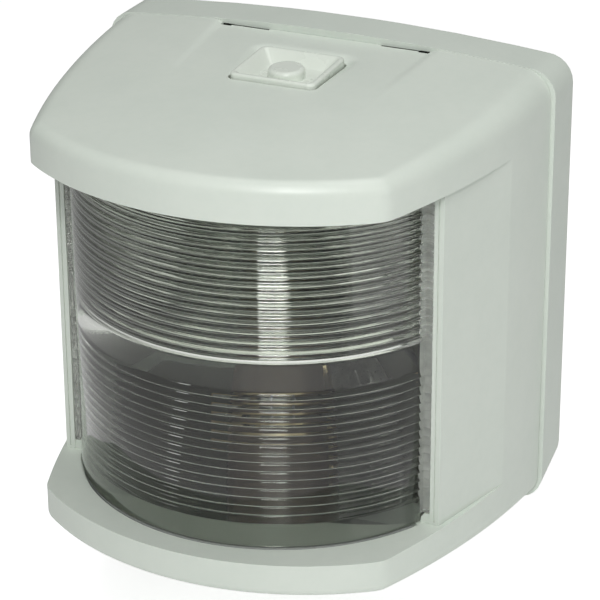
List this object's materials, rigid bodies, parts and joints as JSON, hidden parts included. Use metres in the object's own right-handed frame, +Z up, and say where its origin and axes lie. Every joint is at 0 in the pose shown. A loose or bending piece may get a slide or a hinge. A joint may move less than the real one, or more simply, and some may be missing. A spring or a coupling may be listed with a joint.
{
  "type": "navigation light",
  "caption": "Boat navigation light for a bulkhead: square moulded housing with a visor, curved clear ribbed lens, bayonet lamp and a latch on top.",
  "frame": {"origin": "on the mounting plane behind the back plate, on the centre line, level with the front edge of the cover's underside", "axes": "+X to the right seen from the front, +Y into the wall, +Z up; the light shines along -Y"},
  "size_m": [0.08, 0.0648, 0.0788],
  "materials": {
    "cover_white": "semi-gloss moulded plastic, off-white with a faint green tint",
    "plate_white": "semi-gloss moulded plastic, off-white",
    "latch_white": "semi-gloss moulded plastic, off-white",
    "clear_acrylic": "clear polished acrylic with prism ribs inside",
    "lamp_glass": "clear blown glass",
    "lamp_brass": "bright brass",
    "stainless_steel": "satin",
    "tungsten": "drawn wire",
    "dark_insulation": "moulded phenolic",
    "wire_insulation": "flexible sleeve",
    "black_rubber": "matt elastomer",
    "silicone_seal": "matt grey silicone"
  },
  "bodies": {
    "back": {"back_plate": "plate_white", "rear_gasket": "black_rubber", "cable_grommet": "black_rubber", "socket_bracket": "stainless_steel", "bracket_screw_left": "stainless_steel", "bracket_screw_right": "stainless_steel", "socket_shell": "dark_insulation", "socket_insulator": "dark_insulation", "terminal_left": "lamp_brass", "terminal_right": "lamp_brass", "terminal_screw_left": "stainless_steel", "terminal_screw_right": "stainless_steel", "lead_wire_left": "wire_insulation", "lead_wire_right": "wire_insulation", "contact_spring": "stainless_steel"},
    "latch": {"latch_tongue": "latch_white"},
    "contacts": {"contact_disc": "dark_insulation", "contact_pin_left": "lamp_brass", "contact_pin_right": "lamp_brass"},
    "bulb": {"bulb_cap": "lamp_brass", "bulb_base": "dark_insulation", "bulb_glass": "lamp_glass", "filament": "tungsten", "filament_lead_left": "tungsten", "filament_lead_right": "tungsten"},
    "cover": {"cover": "cover_white", "lens": "clear_acrylic", "lens_seal_top": "silicone_seal", "lens_seal_bottom": "silicone_seal"}
  },
  "joints": [
    {"name": "cover_tilt", "type": "hinge", "parent": "back", "child": "cover", "pos_m": [0, -0.015, -0.0024], "axis": [1, 0, 0], "range_deg": [0, 35], "deforming": ["latch_tongue"]},
    {"name": "latch_press", "type": "hinge", "parent": "back", "child": "latch", "pos_m": [0, -0.004, 0.0694], "axis": [1, 0, 0], "range_deg": [0, 12], "stiffness_Nm_per_rad": 0.05, "deforming": ["latch_tongue"]},
    {"name": "bulb_push", "type": "slide", "parent": "back", "child": "contacts", "axis": [0, 0, 1], "range_m": [-0.0012, 0], "stiffness_N_per_m": 400, "deforming": ["contact_spring", "lead_wire_left", "lead_wire_right"]},
    {"name": "bulb_twist", "type": "hinge", "parent": "contacts", "child": "bulb", "pos_m": [0, -0.0264, 0.0202], "axis": [0, 0, 1], "range_deg": [0, 25]}
  ]
}
